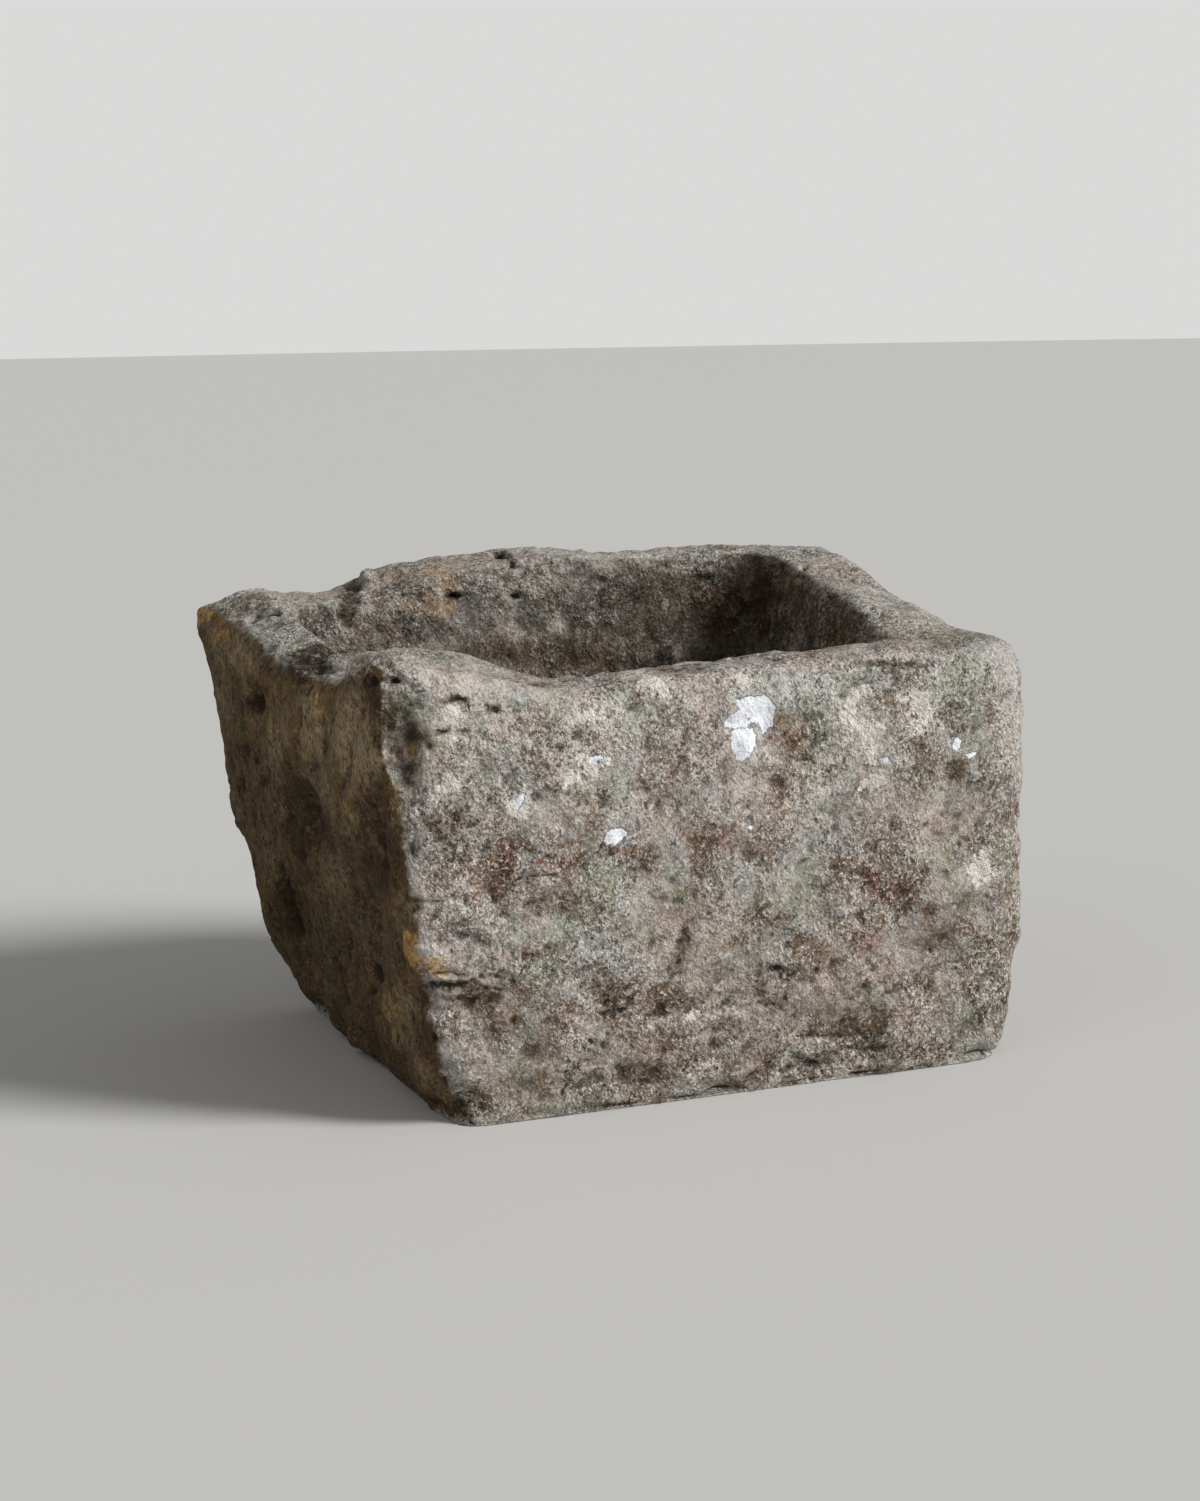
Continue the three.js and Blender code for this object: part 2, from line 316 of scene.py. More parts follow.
def holeDepth(place):
    total = 0
    least = holes["leastShare"]
    for hole in holes["sizes"].values():
        spot = Vector((place.x, place.y, place.z * holes["flatness"])) / hole["size"]
        distances, points = noise.voronoi(spot + bending(spot, holes["bend"]))
        chance = (noise.cell(points[0] * holes["seed"]) + 1) / 2
        if chance < hole["kept"]:
            radius = hole["radius"] * (least + (1 - least) * chance / hole["kept"])
            total += hole["depth"] * (1 - smoothStep(radius * holes["floorShare"], radius, distances[0]))
    return total


# Thin beds that weather back by different amounts, strongest low on the walls
bedding = {
    "spacing": 0.011,
    "depth": 0.0018,
    "heights": (0.078, 0.208),  # the beds fade out between these
    "wander": 0.012,
    "wandersPerMetre": 14,
    "edgeShare": 0.22,  # of a bed's height
    "leftShare": 0.5,
    "seed": 1.37,
}


def beddingDepth(place, faces):
    walls = faces["front"] + faces["right"] + faces["back"] + bedding["leftShare"] * faces["left"]
    low = 1 - smoothStep(*bedding["heights"], place.z)
    patch = patchiness(place, "bedding")
    if walls * low * patch == 0:
        return 0
    wander = bedding["wander"] * noise.noise(place * bedding["wandersPerMetre"])
    level = (place.z + wander) / bedding["spacing"]
    bed = math.floor(level)
    edge = smoothStep(0, bedding["edgeShare"], level - bed)
    below, here = [
        noise.cell(Vector((0.5, 0.5, number * bedding["seed"] + 0.5))) for number in (bed - 1, bed)
    ]
    return walls * low * patch * bedding["depth"] * (below + (here - below) * edge)


# Old chips along the arrises and round the foot
chips = {
    "size": 0.026,
    "depth": 0.0045,
    "wear": 0.0012,
    "noise": (1, 2, 3),
    "broken": (0.05, 0.5),  # noise values where a chip starts and where it is whole
    "arris": (0.0003, 0.0016),  # sharpness in metres, likewise
    "heights": (0.08, 0.2),  # chips are fewer above these
    "highShare": 0.2,
    "footHeight": 0.018,
    "footDepth": 0.008,
}


def chipDepth(place, sharpness, faces):
    broken = smoothStep(*chips["broken"], noise.fractal(place / chips["size"], *chips["noise"]))
    low = 1 - smoothStep(*chips["heights"], place.z)
    chipped = chips["wear"] + chips["depth"] * broken * (chips["highShare"] + (1 - chips["highShare"]) * low)
    arris = smoothStep(*chips["arris"], sharpness) * chipped
    foot = 1 - smoothStep(0, chips["footHeight"], place.z)
    held = 1 - faces["under"]
    return arris * held + chips["footDepth"] * foot * patchiness(place, "foot") * held


# Holes and hollows seen in the photograph: pixel, half width and half height in pixels,
# tilt in degrees clockwise, depth in millimetres. A negative depth stands out.
carvedSpots = {
    "left hole": (254, 702, 9, 17, 8, 9),
    "left slit": (294, 716, 4, 17, 0, 5),
    "left dent": (249, 762, 5, 5, 0, 4),
    "left sliver": (257, 782, 3, 9, 0, 4),
    "left tip": (200, 612, 12, 10, 0, -2.5),
    "left rim bump": (252, 600, 34, 13, 0, -5),
    "back shoulder": (364, 580, 13, 12, 0, -4),
    "left shelf": (242, 748, 9, 12, 0, 3),
    "left cave": (302, 816, 22, 30, -28, 4),
    "corner cave": (371, 838, 12, 40, -8, 3.5),
    "left low cave": (296, 925, 15, 28, -25, 3),
    "left low cave two": (374, 920, 12, 16, 0, 3),
    "notch": (310, 664, 24, 12, 8, 6.5),
    "notch end": (324, 652, 12, 8, -20, 3),
    "left ring": (339, 949, 8, 8, 0, 3),
    "left foot hole": (372, 975, 7, 14, -15, 5),
    "left foot dent": (366, 992, 6, 8, 0, 4),
    "corner hole": (364, 681, 8, 10, -30, 6),
    "corner slot": (391, 681, 9, 4, 5, 5),
    "corner shoulder": (376, 757, 9, 14, 0, -2.5),
    "corner chip": (405, 850, 11, 15, 0, 3),
    "corner knob": (400, 882, 9, 12, 0, -2.5),
    "corner chip two": (409, 906, 10, 11, 0, 3),
    "corner knob two": (420, 1012, 9, 13, 0, -2.5),
    "corner chip three": (424, 1042, 11, 15, 0, 3.5),
    "corner chip four": (438, 1086, 11, 12, 0, 3.5),
    "crescent": (452, 699, 13, 5, -8, 3.5),
    "crescent end": (464, 707, 4, 8, 0, 3),
    "rim hole": (493, 709, 7, 6, 0, 4),
    "front speck": (442, 732, 5, 3, 20, 2.5),
    "front speck two": (604, 757, 4, 4, 0, 2.5),
    "front dent": (533, 797, 7, 8, 0, 2),
    "rim chip": (532, 683, 12, 4, 20, 3),
    "rim chip two": (596, 679, 14, 3, -6, 2.5),
    "moss furrow": (897, 664, 34, 4, 3, 2),
    "back rim hole": (496, 552, 9, 5, 15, 6),
    "back rim hole two": (510, 563, 7, 6, 30, 5),
    "back hole": (452, 595, 10, 4, 0, 5),
    "back hole two": (512, 595, 8, 4, 0, 5),
    "back hole three": (496, 606, 5, 3, 0, 3),
    "back hole four": (598, 578, 9, 4, 0, 3),
    "back hole five": (703, 577, 11, 5, -10, 4),
    "right rim slit": (896, 594, 9, 3, 8, 4),
    "right rim hole": (872, 607, 4, 3, 0, 4),
    "right rim dent": (882, 620, 4, 3, 0, 3),
    "right rim pit": (804, 565, 6, 5, 0, 4),
    "right rim pit two": (801, 575, 5, 4, 0, 3),
    "ledge": (422, 953, 20, 20, 40, -5),
    "ledge undercut": (440, 985, 26, 7, 6, 5),
    "ledge shadow": (425, 989, 8, 6, 0, 3),
    "ledge hollow": (470, 1006, 34, 16, 10, 2.5),
    "flake": (537, 868, 15, 7, -12, -1.6),
    "low hole": (510, 1022, 5, 7, 0, 3),
    "low hole two": (588, 1042, 6, 4, 20, 3),
    "low hole three": (600, 1046, 5, 5, 0, 3),
    "bed hole": (778, 969, 10, 5, 0, 4),
    "bed hole two": (818, 970, 5, 4, 0, 2.5),
    "bed dent": (864, 985, 5, 8, -20, 2.5),
    "right dent": (932, 950, 5, 5, 0, 2.5),
    "foot facet": (455, 1113, 16, 11, 35, 4),
}

# Cracks and grooves: the pixels that they pass, half width in pixels, depth in millimetres
carvedLines = {
    "corner bevel": (((374, 688), (387, 718), (394, 752), (392, 796)), 32, 5),
    "left rim crack": (((244, 619), (258, 613), (274, 613)), 3, 3),
    "left rim crack two": (((248, 592), (264, 593)), 3, 3),
    "left seam": (((262, 770), (280, 800), (292, 840)), 7, 3),
    "left furrow": (((235, 780), (262, 830), (285, 900), (300, 960)), 7, 2.5),
    "left furrow two": (((300, 850), (320, 900), (345, 960)), 8, 2.5),
    "left furrow three": (((262, 845), (280, 880), (292, 930)), 6, 2.5),
    "back notch": (((352, 580), (346, 600), (343, 620)), 11, 3),
    "ledge line": (((430, 974), (444, 973), (458, 975)), 2.5, 2.5),
    "ledge line two": (((480, 989), (496, 989), (513, 992)), 2.5, 1.5),
    "corner crack": (((409, 901), (424, 903), (440, 902)), 2, 1.5),
    "flake line": (((523, 877), (538, 874), (552, 875)), 2.5, 2),
    "tool groove": (((687, 925), (680, 950), (668, 985), (660, 1010)), 8, 2.2),
    "bed line": (((735, 1008), (758, 1005), (782, 1007)), 2.5, 1.5),
    "bed line two": (((792, 1038), (815, 1035), (842, 1037)), 2.5, 1.5),
    "bed line three": (((662, 1067), (676, 1064), (692, 1057)), 3, 1.5),
    "bed line four": (((624, 1045), (640, 1052), (662, 1050)), 3, 1.5),
    "rim crack": (((830, 596), (848, 590), (866, 592)), 2.5, 2),
    "rim crack two": (((852, 612), (870, 618), (884, 612)), 2.5, 2),
}

# How marks are set on the stone: how far round one its points are looked for, as a share of
# its reach in pixels, and how its edge is bent by noise, as a share of its half width
marking = {
    "leastSearch": 1.6,
    "searchGrowth": 12,  # pixels of reach that widen the search by one more share
    "mostSearch": 3.2,
    "bends": ((70, 0.5), (190, 0.4)),
    "spotBend": 0.7,
    "lineBend": 0.8,
    "spotFullness": 1.5,  # a higher power makes a hole narrower at its bottom
}
millimetres = 1000  # in a metre


# Points whose pixel may lie within a reach of a pixel, with the way to them in pixels. The
# way is bent a little by noise, so that no mark is a clean ellipse.
def pointsNear(places, tree, surface, u, v, reach, wobble):
    centre = placeAt(surface, u, v)
    if centre is None:
        return
    search = min(marking["leastSearch"] + reach / marking["searchGrowth"], marking["mostSearch"])
    radius = search * reach / pixelsPerUnit * (centre - camera["place"]).length
    for place, index, _ in tree.find_range(centre, radius):
        pixel = pixelOf(places[index])
        place = place.copy()
        place.rotate(patternTurn)
        bend = bending(place, *marking["bends"]) * wobble
        yield index, pixel[0] - u + bend.x, pixel[1] - v + bend.z


# Points in a spot with how near its middle they are, from 0 at its rim to 1
def pointsInSpot(places, tree, surface, spot):
    u, v, halfWidth, halfHeight, tilt = spot[:5]
    turn = math.radians(tilt)
    found = []
    reach = max(halfWidth, halfHeight)
    wobble = marking["spotBend"] * min(halfWidth, halfHeight)
    for index, du, dv in pointsNear(places, tree, surface, u, v, reach, wobble):
        along = (du * math.cos(turn) + dv * math.sin(turn)) / halfWidth
        across = (dv * math.cos(turn) - du * math.sin(turn)) / halfHeight
        nearness = 1 - along * along - across * across
        if nearness > 0:
            found.append((index, nearness))
    return found


# Points along a line of pixels, with how near the line they are
def pointsInLine(places, tree, surface, stops, halfWidth):
    found = {}
    wobble = marking["lineBend"] * halfWidth
    for (u0, v0), (u1, v1) in zip(stops, stops[1:]):
        middle = ((u0 + u1) / 2, (v0 + v1) / 2)
        half = ((u1 - u0) / 2, (v1 - v0) / 2)
        length = math.hypot(*half)
        for index, du, dv in pointsNear(places, tree, surface, *middle, length + halfWidth, wobble):
            share = (du * half[0] + dv * half[1]) / (length * length)
            share = min(max(share, -1), 1)
            away = math.hypot(du - share * half[0], dv - share * half[1]) / halfWidth
            if away < 1:
                found[index] = max(found.get(index, 0), 1 - away * away)
    return list(found.items())


# The points that face the camera, so that no mark goes through to a wall's other side
def treeOf(places, normals):
    tree = KDTree(len(places))
    for index, (place, normal) in enumerate(zip(places, normals)):
        if normal.dot(camera["place"] - place) > 0:
            tree.insert(place, index)
    tree.balance()
    return tree


# How far each point stands out from a smoothed copy of the stone, in metres
def sharpnessOf(mesh, passes):
    rounded = bmesh.new()
    rounded.from_mesh(mesh)
    every = {"use_axis_x": True, "use_axis_y": True, "use_axis_z": True}
    for _ in range(passes):
        bmesh.ops.smooth_vert(rounded, verts=rounded.verts, factor=block["smoothing"], **every)
    rounded.normal_update()
    sharpness = [(at.co - soft.co).dot(soft.normal) for at, soft in zip(mesh.vertices, rounded.verts)]
    rounded.free()
    return sharpness


# Sharp arrises take less of the lumps and flakes, so that they stay fairly straight
arrises = {"passes": 24, "sharpness": (0.0001, 0.0007), "calm": 0.65}


def carveStone(piece):
    mesh = piece.data
    places = [point.co.copy() for point in mesh.vertices]
    normals = [point.normal.copy() for point in mesh.vertices]
    surface = BVHTree.FromPolygons(places, [face.vertices for face in mesh.polygons])
    tree = treeOf(places, normals)
    depths = [0] * len(places)
    for spot in carvedSpots.values():
        for index, nearness in pointsInSpot(places, tree, surface, spot):
            depths[index] += spot[5] / millimetres * nearness ** marking["spotFullness"]
    for stops, halfWidth, depth in carvedLines.values():
        for index, nearness in pointsInLine(places, tree, surface, stops, halfWidth):
            depths[index] += depth / millimetres * nearness
    print("marks carved")
    sharpness = sharpnessOf(mesh, arrises["passes"])
    for index, (place, normal) in enumerate(zip(places, normals)):
        faces = facesAt(place, normal)
        arris = smoothStep(*arrises["sharpness"], sharpness[index])
        calm = 1 - arrises["calm"] * arris * (1 - faces["left"])
        depth = depths[index] + (flakeDepth(place, faces) - waviness(place, faces)) * calm
        depth += runDepth(place, faces) + holeDepth(place)
        depth += beddingDepth(place, faces) + chipDepth(place, sharpness[index], faces)
        mesh.vertices[index].co = place - normal * depth * (1 - faces["under"])
    print("relief carved")
    return surface


def thinOut(piece):
    piece.data.calc_loop_triangles()
    thin = piece.modifiers.new("thin", "DECIMATE")
    thin.ratio = min(block["mostTriangles"] / len(piece.data.loop_triangles), 1)
    applyModifiers(piece)


# Scales the stone a hair so that it fills the CAD box, with its underside on the ground
def fitToBox(piece):
    low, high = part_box("stone_trough")
    places = [point.co for point in piece.data.vertices]
    under = Vector([min(place[axis] for place in places) for axis in range(3)])
    over = Vector([max(place[axis] for place in places) for axis in range(3)])
    for place in places:
        for axis in range(3):
            share = (place[axis] - under[axis]) / (over[axis] - under[axis])
            place[axis] = low[axis] + share * (high[axis] - low[axis])


plainSurface = carveStone(stone)
thinOut(stone)
fitToBox(stone)
stone.data.shade_smooth()
print("stone of", len(stone.data.polygons), "faces")


# Patches of colour seen in the photograph: pixel, half width and half height in pixels,
# tilt in degrees clockwise, strength from 0 to 1
patches = {
    "lime": {
        "main": (757, 708, 21, 16, -10, 1.2),
        "main tail": (736, 719, 17, 9, -32, 1.1),
        "main limb": (765, 717, 11, 18, 5, 1.1),
        "main foot": (745, 741, 15, 17, 20, 1.2),
        "main drip": (742, 756, 7, 9, 0, 0.6),
        "dot": (887, 760, 6, 6, 0, 0.6),
        "blue left": (957, 744, 5, 12, 12, 0.7),
        "blue right": (970, 755, 12, 4, -25, 0.7),
        "middle dot": (750, 825, 4, 4, 0, 0.9),
        "centre": (615, 836, 15, 8, -40, 0.9),
        "upper middle": (597, 759, 10, 8, -20, 0.7),
        "left middle": (519, 800, 8, 12, 20, 0.7),
    },
    "cream": {
        "left": (851, 716, 13, 26, 8, 1),
        "top": (864, 691, 16, 10, 0, 0.8),
        "middle": (873, 738, 14, 26, -10, 1),
        "low": (870, 757, 14, 14, 0, 0.9),
        "foot": (871, 782, 18, 9, -20, 1),
        "right": (912, 700, 24, 14, 0, 0.9),
        "right column": (922, 712, 11, 24, 0, 1),
        "right foot": (920, 731, 10, 6, 0, 1),
        "upper middle": (593, 761, 22, 15, -20, 1),
        "upper middle tail": (572, 780, 14, 8, -35, 0.9),
        "left middle": (518, 805, 18, 13, 0, 1),
        "hole": (449, 715, 12, 18, 10, 1),
        "hole foot": (449, 738, 12, 10, 0, 0.8),
        "left low": (448, 784, 14, 11, 0, 0.8),
        "rim left": (586, 717, 30, 10, -12, 0.7),
        "rim middle": (655, 686, 26, 14, 20, 0.8),
        "rim spot": (740, 677, 11, 8, 0, 0.9),
        "bed spot": (694, 1013, 9, 8, 0, 1),
        "right low": (980, 870, 16, 24, 0, 0.8),
        "bare middle": (830, 790, 60, 22, 0, 0.35),
    },
    "smear": {
        "hole": (449, 726, 22, 32, 10, 0.9),
        "upper middle": (584, 768, 36, 20, -30, 0.9),
        "left middle": (519, 802, 24, 20, 0, 0.8),
        "centre": (612, 838, 22, 14, -40, 0.7),
        "left low": (448, 786, 26, 16, 0, 0.7),
        "rim left": (588, 716, 46, 20, -12, 0.7),
        "rim middle": (655, 688, 40, 22, 20, 0.8),
        "rim right": (742, 678, 24, 14, 0, 0.8),
        "main": (760, 752, 24, 16, 0, 0.6),
        "cream left": (852, 716, 28, 40, 8, 0.7),
        "cream right": (914, 712, 34, 34, 0, 0.7),
        "cream low": (880, 762, 44, 30, -10, 0.7),
        "skin": (840, 790, 70, 36, 0, 0.5),
        "right low": (978, 870, 30, 34, 0, 0.7),
        "upper left": (560, 745, 60, 30, 0, 0.5),
        "low": (640, 1030, 60, 14, -6, 0.4),
        "bed spot": (694, 1012, 20, 14, 0, 0.7),
    },
    "stain": {
        "left": (500, 872, 80, 60, 0, 0.9),
        "left high": (452, 826, 50, 44, 0, 0.8),
        "centre": (600, 858, 90, 26, 5, 0.8),
        "middle": (716, 842, 60, 40, -10, 0.8),
        "high": (792, 736, 56, 38, 10, 0.8),
        "high right": (968, 776, 50, 34, 10, 0.8),
        "right": (886, 902, 110, 50, 12, 1),
        "right low": (800, 948, 120, 34, 0, 0.8),
        "right edge": (975, 930, 44, 40, 0, 0.5),
        "low": (640, 1010, 200, 40, 0, 0.6),
        "low left": (500, 1010, 90, 60, 0, 0.7),
        "foot": (620, 1075, 240, 24, -6, 0.6),
        "low right": (860, 1020, 120, 30, 0, 0.6),
        "rim": (900, 668, 70, 14, 0, 0.7),
        "top left": (470, 700, 50, 18, 0, 0.6),
    },
    "pitted": {
        "dark band": (790, 918, 60, 18, 5, 1),
        "middle": (716, 838, 30, 22, 0, 1),
        "brown high": (795, 738, 36, 20, 10, 0.9),
        "right dark": (972, 772, 30, 24, 10, 1),
        "right rust": (890, 893, 52, 20, 20, 1),
        "right low rust": (868, 936, 40, 14, -15, 0.9),
        "blue edge": (770, 875, 30, 26, 0, 0.7),
        "left rust": (510, 862, 34, 34, 0, 0.9),
        "centre": (600, 856, 60, 16, 0, 0.8),
        "left": (452, 836, 40, 44, 0, 1),
        "low left": (500, 962, 60, 26, 0, 0.8),
        "low middle": (620, 1000, 60, 30, 0, 0.6),
        "low band": (810, 974, 80, 12, 0, 0.9),
        "low right": (860, 1030, 70, 20, 0, 0.7),
        "top left": (460, 712, 40, 20, 0, 0.7),
        "top right": (900, 668, 60, 10, 0, 1),
        "corner": (400, 800, 24, 60, 0, 0.8),
        "left low": (455, 1040, 40, 50, 0, 0.6),
    },
    "shade": {
        "back right": (700, 622, 100, 60, 0, 1.4),
        "back corner": (745, 600, 60, 80, 0, 1.4),
        "back low": (630, 650, 120, 34, 0, 1.2),
        "back middle": (650, 590, 60, 40, 0, 1),
        "back left low": (400, 632, 70, 26, 0, 0.6),
        "back left foot": (500, 652, 80, 22, 0, 0.6),
    },
    "rust": {
        "left": (508, 860, 16, 26, 0, 0.8),
        "left top": (520, 845, 24, 9, 10, 0.7),
        "left low": (500, 885, 14, 14, -30, 0.8),
        "left lower": (478, 895, 16, 9, -40, 0.6),
        "centre": (560, 862, 34, 11, 5, 0.7),
        "centre right": (625, 852, 26, 10, 0, 0.6),
        "middle": (720, 838, 34, 16, -10, 0.55),
        "middle high": (790, 730, 40, 30, 10, 0.4),
        "speck": (778, 740, 9, 9, 0, 0.7),
        "right": (890, 890, 46, 16, 25, 0.85),
        "right tip": (925, 908, 20, 9, 15, 0.9),
        "right low": (868, 940, 34, 16, -15, 0.7),
        "right edge": (960, 918, 18, 10, 0, 0.5),
        "right dark": (768, 915, 34, 14, 10, 0.5),
        "low left": (540, 950, 40, 14, 0, 0.5),
        "low middle": (700, 1010, 34, 30, 60, 0.3),
    },
    # Ochre stains; the strongest, on the ledge, are also made brighter as painted light
    "ochreAndLight": {
        "ledge": (412, 952, 10, 25, -18, 1.4),
        "ledge edge": (406, 938, 7, 11, 10, 1),
        "ledge foot": (430, 966, 20, 12, 4, 1.5),
        "ledge toe": (440, 971, 12, 7, 0, 1.4),
        "tip": (203, 613, 14, 13, 0, 1.1),
        "tip side": (216, 634, 22, 26, 30, 0.4),
        "left side": (318, 705, 12, 40, 0, 0.4),
        "left front": (390, 1010, 18, 46, -12, 0.35),
        "left tip": (222, 632, 10, 14, 20, 0.35),
        "right wall dot": (757, 645, 5, 8, 0, 0.8),
        "foot": (452, 1118, 16, 8, 30, 0.5),
    },
    # Paler stone on the left face, with painted light where its corner and ridges catch the light
    "leftPaleAndLit": {
        "ridge": (312, 730, 22, 56, -8, 0.9),
        "ridge low": (322, 790, 16, 30, -20, 0.6),
        "corner": (356, 745, 28, 60, -10, 1.4),
        "corner low": (350, 810, 16, 34, 0, 0.5),
        "top": (236, 652, 36, 26, 35, 0.8),
        "high left": (222, 700, 16, 50, 8, 0.4),
        "middle": (276, 744, 14, 44, 0, 0.6),
        "low": (334, 884, 24, 40, -20, 0.5),
        "low left": (268, 860, 12, 40, -10, 0.4),
        "low middle": (326, 1000, 26, 44, -20, 0.4),
        "ledge": (404, 1016, 20, 50, 0, 0.7),
        "foot": (420, 1080, 24, 30, -20, 0.5),
    },
    # The left face's brown carried onto the front's shaded strip by the left corner, as painted shade
    "brownAndShadedCorner": {
        "gully": (396, 735, 24, 54, -14, 1),
        "brow": (396, 812, 18, 48, 0, 0.8),
        "corner": (388, 880, 16, 44, 0, 0.7),
        "corner low": (404, 960, 12, 44, -8, 0.6),
        "foot": (420, 1090, 20, 30, -30, 0.6),
    },
    "tawny": {
        "back patch": (438, 582, 36, 36, 20, 0.8),
        "back patch low": (430, 606, 40, 22, 0, 0.7),
        "back patch left": (395, 576, 36, 20, 0, 0.6),
        "back patch right": (474, 568, 30, 18, 0, 0.5),
    },
    "crust": {
        "corner top": (350, 668, 24, 14, 0, 0.9),
        "left rim": (256, 612, 60, 22, 25, 0.9),
        "left rim low": (285, 645, 26, 16, 40, 0.9),
    },
    "earth": {
        "right wall": (830, 605, 56, 44, 30, 1),
        "right wall back": (775, 600, 30, 50, 0, 0.8),
        "back corner": (720, 610, 40, 44, 0, 0.6),
        "back low": (560, 660, 130, 24, 8, 0.4),
    },
    "lichen": {
        "front top left": (500, 700, 70, 24, 5, 0.7),
        "front top": (640, 705, 90, 24, -5, 0.8),
        "front top right": (800, 690, 100, 26, -3, 1),
        "right corner": (950, 700, 60, 40, 0, 0.9),
        "right band": (800, 715, 40, 16, -15, 0.7),
        "left corner": (420, 690, 40, 40, 0, 0.6),
        "blue": (738, 885, 44, 38, 0, 0.9),
        "blue right": (825, 895, 40, 30, 0, 0.6),
        "low right": (975, 1020, 50, 30, 0, 0.9),
        "low middle": (800, 1060, 50, 22, 0, 0.7),
        "low left": (510, 920, 44, 26, 0, 0.6),
        "left low middle": (560, 985, 70, 20, 0, 0.6),
    },
    # Dark brown in holes, caves, undercuts and the corner gully, which is also painted shade in these
    # recesses
    "umberAndShade": {
        "notch": (308, 664, 28, 18, 8, 2.2),
        "notch right": (322, 652, 14, 12, 0, 2),
        "corner hole": (364, 683, 11, 13, -30, 1.3),
        "corner slot": (391, 681, 12, 6, 5, 1.3),
        "front speck": (442, 732, 6, 4, 20, 1.2),
        "back hole": (452, 595, 12, 5, 0, 1.2),
        "back rim hole": (503, 557, 14, 8, 30, 1.2),
        "moss": (897, 665, 42, 6, 3, 1),
        "moss left": (680, 668, 40, 6, 0, 0.6),
        "back notch": (348, 600, 14, 28, 5, 0.9),
        "left cave": (308, 830, 36, 34, 30, 0.8),
        "left cave top": (300, 795, 20, 30, -20, 0.7),
        "gully": (386, 716, 9, 44, -32, 0.9),
        "corner shade": (380, 850, 26, 70, 0, 0.7),
        "corner brow": (372, 800, 26, 24, 0, 0.5),
        "left high": (254, 702, 12, 20, 0, 0.9),
        "left low": (290, 910, 24, 44, -20, 0.6),
        "undercut": (460, 990, 50, 14, 5, 0.9),
        "right dark": (960, 775, 34, 20, 10, 0.35),
        "front left": (452, 826, 40, 30, 0, 0.5),
        "front middle": (690, 790, 60, 30, 0, 0.25),
        "bed": (780, 968, 50, 8, 0, 0.5),
        "bed low": (800, 1010, 70, 20, 0, 0.35),
        "rim hole": (455, 700, 16, 8, 0, 0.9),
        "rim hole two": (493, 709, 10, 8, 0, 0.9),
        "foot facet": (456, 1110, 16, 12, 20, 0.7),
        "tool groove": (680, 950, 10, 40, 18, 0.7),
        "centre shadow": (530, 1030, 70, 24, 0, 0.3),
    },
}


def writeMask(mesh, name, values):
    mask = mesh.attributes.new(name, "FLOAT", "POINT")
    mask.data.foreach_set("value", values)


hollows = {"finePasses": 4, "broadPasses": 22, "broadShare": 0.5}


# Writes the masks that the stone's material reads: the listed patches, the hollows that take
# dirt and painted shade, and which face each point belongs to
def markStone(piece, surface):
    mesh = piece.data
    places = [point.co.copy() for point in mesh.vertices]
    tree = treeOf(places, [point.normal.copy() for point in mesh.vertices])
    for name, spots in patches.items():
        values = [0] * len(places)
        for spot in spots.values():
            for index, nearness in pointsInSpot(places, tree, surface, spot):
                values[index] = max(values[index], spot[5] * nearness)
        writeMask(mesh, name, values)
    fine = sharpnessOf(mesh, hollows["finePasses"])
    broad = sharpnessOf(mesh, hollows["broadPasses"])
    share = hollows["broadShare"]
    writeMask(mesh, "hollow", [-millimetres * (near + share * far) for near, far in zip(fine, broad)])
    faces = [facesAt(place, surface.find_nearest(place)[1]) for place in places]
    for face in ("left", "top", "basin"):
        writeMask(mesh, face + "Face", [at[face] for at in faces])


markStone(stone, plainSurface)
print("colour masks written")


